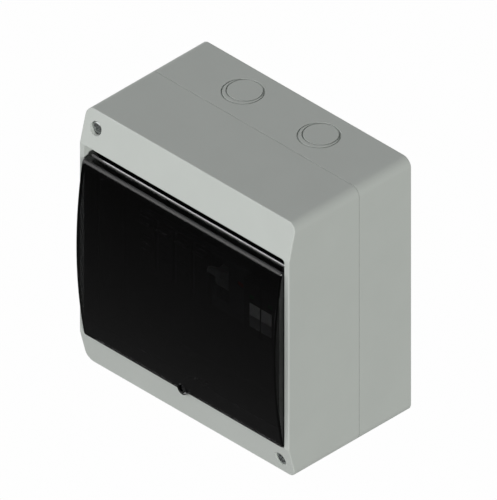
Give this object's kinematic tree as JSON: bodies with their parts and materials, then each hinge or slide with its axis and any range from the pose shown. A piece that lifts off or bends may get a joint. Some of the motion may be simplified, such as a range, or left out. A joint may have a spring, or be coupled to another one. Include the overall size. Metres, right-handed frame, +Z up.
{
  "type": "dc combiner box",
  "caption": "Wall-mounted grey plastic enclosure with a smoked swing-up door over fuse holders, a breaker and surge cartridges on a rail.",
  "frame": {"origin": "middle of the flat back face that lies against the wall", "axes": "+X right when facing the box, -Y out of the front, +Z up"},
  "size_m": [0.2004, 0.1257, 0.2338],
  "materials": {
    "casing_plastic": "fine matt texture",
    "smoked_window": "polished smoked polycarbonate",
    "seal_rubber": "foamed seal",
    "zinc_steel": "zinc plated",
    "lock_plastic": "black",
    "device_dark": "graphite housing",
    "device_black": "black",
    "device_grey": "grey",
    "ceramic": "fuse tube",
    "brass_parts": "machined",
    "copper_parts": "bare copper",
    "lead_red": "insulation",
    "lead_black": "insulation",
    "lead_earth": "green and yellow insulation",
    "label_plate": "printed foil without lettering",
    "gland_plastic": "grey polyamide"
  },
  "bodies": {
    "casing": {"base_shell": "casing_plastic", "cover_seal": "seal_rubber", "din_rail": "zinc_steel", "rail_screws": "zinc_steel", "fuse_holder_1": "device_dark", "fuse_holder_2": "device_dark", "fuse_holder_3": "device_dark", "fuse_holder_4": "device_dark", "breaker_body": "device_dark", "surge_base": "device_dark", "terminal_screws": "zinc_steel", "terminal_clamps": "brass_parts", "fuse_contacts": "copper_parts", "positive_busbar": "copper_parts", "negative_busbar": "copper_parts", "positive_lead": "lead_red", "negative_lead": "lead_black", "surge_positive_lead": "lead_red", "surge_negative_lead": "lead_black", "earth_lead": "lead_earth", "earth_bar": "brass_parts", "earth_bar_screws": "zinc_steel", "earth_bar_holder": "casing_plastic", "gland_washers": "seal_rubber", "gland_locknuts": "gland_plastic", "string_gland_body": "gland_plastic", "string_gland_nut": "gland_plastic", "string_gland_insert": "seal_rubber", "output_gland_body": "gland_plastic", "output_gland_nut": "gland_plastic", "output_gland_insert": "seal_rubber"},
    "cover": {"front_cover": "casing_plastic", "device_mask": "device_black", "cover_screws": "zinc_steel", "door_hinge_pins": "zinc_steel"},
    "door_leaf": {"door": "smoked_window"},
    "door_lock": {"door_lock_barrel": "lock_plastic", "door_lock_cam": "lock_plastic"},
    "carrier_1": {"fuse_carrier_1": "device_black", "fuse_link_1": "ceramic"},
    "carrier_2": {"fuse_carrier_2": "device_black", "fuse_link_2": "ceramic"},
    "carrier_3": {"fuse_carrier_3": "device_black", "fuse_link_3": "ceramic"},
    "carrier_4": {"fuse_carrier_4": "device_black", "fuse_link_4": "ceramic"},
    "lever": {"breaker_toggle": "device_grey"},
    "cartridge_1": {"surge_cartridge_1": "device_black", "surge_blades_1": "copper_parts", "surge_label_1": "label_plate"},
    "cartridge_2": {"surge_cartridge_2": "device_black", "surge_blades_2": "copper_parts", "surge_label_2": "label_plate"},
    "clip_1": {"rail_clip_1": "device_black"},
    "clip_2": {"rail_clip_2": "device_black"},
    "clip_3": {"rail_clip_3": "device_black"},
    "clip_4": {"rail_clip_4": "device_black"},
    "clip_5": {"rail_clip_5": "device_black"},
    "clip_6": {"rail_clip_6": "device_black"}
  },
  "joints": [
    {"name": "cover_lift_off", "type": "slide", "parent": "casing", "child": "cover", "axis": [0, -1, 0], "range_m": [0, 0.15]},
    {"name": "door_swing", "type": "hinge", "parent": "cover", "child": "door_leaf", "pos_m": [0, -0.111, 0.0625], "axis": [-1, 0, 0], "range_deg": [0, 105]},
    {"name": "door_lock_turn", "type": "hinge", "parent": "door_leaf", "child": "door_lock", "pos_m": [0, -0.112, -0.0762], "axis": [0, 1, 0], "range_deg": [0, 90]},
    {"name": "fuse_carrier_1_swing", "type": "hinge", "parent": "casing", "child": "carrier_1", "pos_m": [-0.06125, -0.08, -0.0195], "axis": [1, 0, 0], "range_deg": [0, 40]},
    {"name": "fuse_carrier_2_swing", "type": "hinge", "parent": "casing", "child": "carrier_2", "pos_m": [-0.04375, -0.08, -0.0195], "axis": [1, 0, 0], "range_deg": [0, 40]},
    {"name": "fuse_carrier_3_swing", "type": "hinge", "parent": "casing", "child": "carrier_3", "pos_m": [-0.02625, -0.08, -0.0195], "axis": [1, 0, 0], "range_deg": [0, 40]},
    {"name": "fuse_carrier_4_swing", "type": "hinge", "parent": "casing", "child": "carrier_4", "pos_m": [-0.00875, -0.08, -0.0195], "axis": [1, 0, 0], "range_deg": [0, 40]},
    {"name": "breaker_toggle_throw", "type": "hinge", "parent": "casing", "child": "lever", "pos_m": [0.00875, -0.0805, 0.002], "axis": [1, 0, 0], "range_deg": [0, 80]},
    {"name": "surge_cartridge_1_pull", "type": "slide", "parent": "casing", "child": "cartridge_1", "axis": [0, -1, 0], "range_m": [0, 0.02]},
    {"name": "surge_cartridge_2_pull", "type": "slide", "parent": "casing", "child": "cartridge_2", "axis": [0, -1, 0], "range_m": [0, 0.02]},
    {"name": "rail_clip_1_release", "type": "slide", "parent": "casing", "child": "clip_1", "axis": [0, 0, -1], "range_m": [0, 0.003], "stiffness_N_per_m": 300, "springref_m": -0.001},
    {"name": "rail_clip_2_release", "type": "slide", "parent": "casing", "child": "clip_2", "axis": [0, 0, -1], "range_m": [0, 0.003], "stiffness_N_per_m": 300, "springref_m": -0.001},
    {"name": "rail_clip_3_release", "type": "slide", "parent": "casing", "child": "clip_3", "axis": [0, 0, -1], "range_m": [0, 0.003], "stiffness_N_per_m": 300, "springref_m": -0.001},
    {"name": "rail_clip_4_release", "type": "slide", "parent": "casing", "child": "clip_4", "axis": [0, 0, -1], "range_m": [0, 0.003], "stiffness_N_per_m": 300, "springref_m": -0.001},
    {"name": "rail_clip_5_release", "type": "slide", "parent": "casing", "child": "clip_5", "axis": [0, 0, -1], "range_m": [0, 0.003], "stiffness_N_per_m": 300, "springref_m": -0.001},
    {"name": "rail_clip_6_release", "type": "slide", "parent": "casing", "child": "clip_6", "axis": [0, 0, -1], "range_m": [0, 0.003], "stiffness_N_per_m": 300, "springref_m": -0.001}
  ]
}
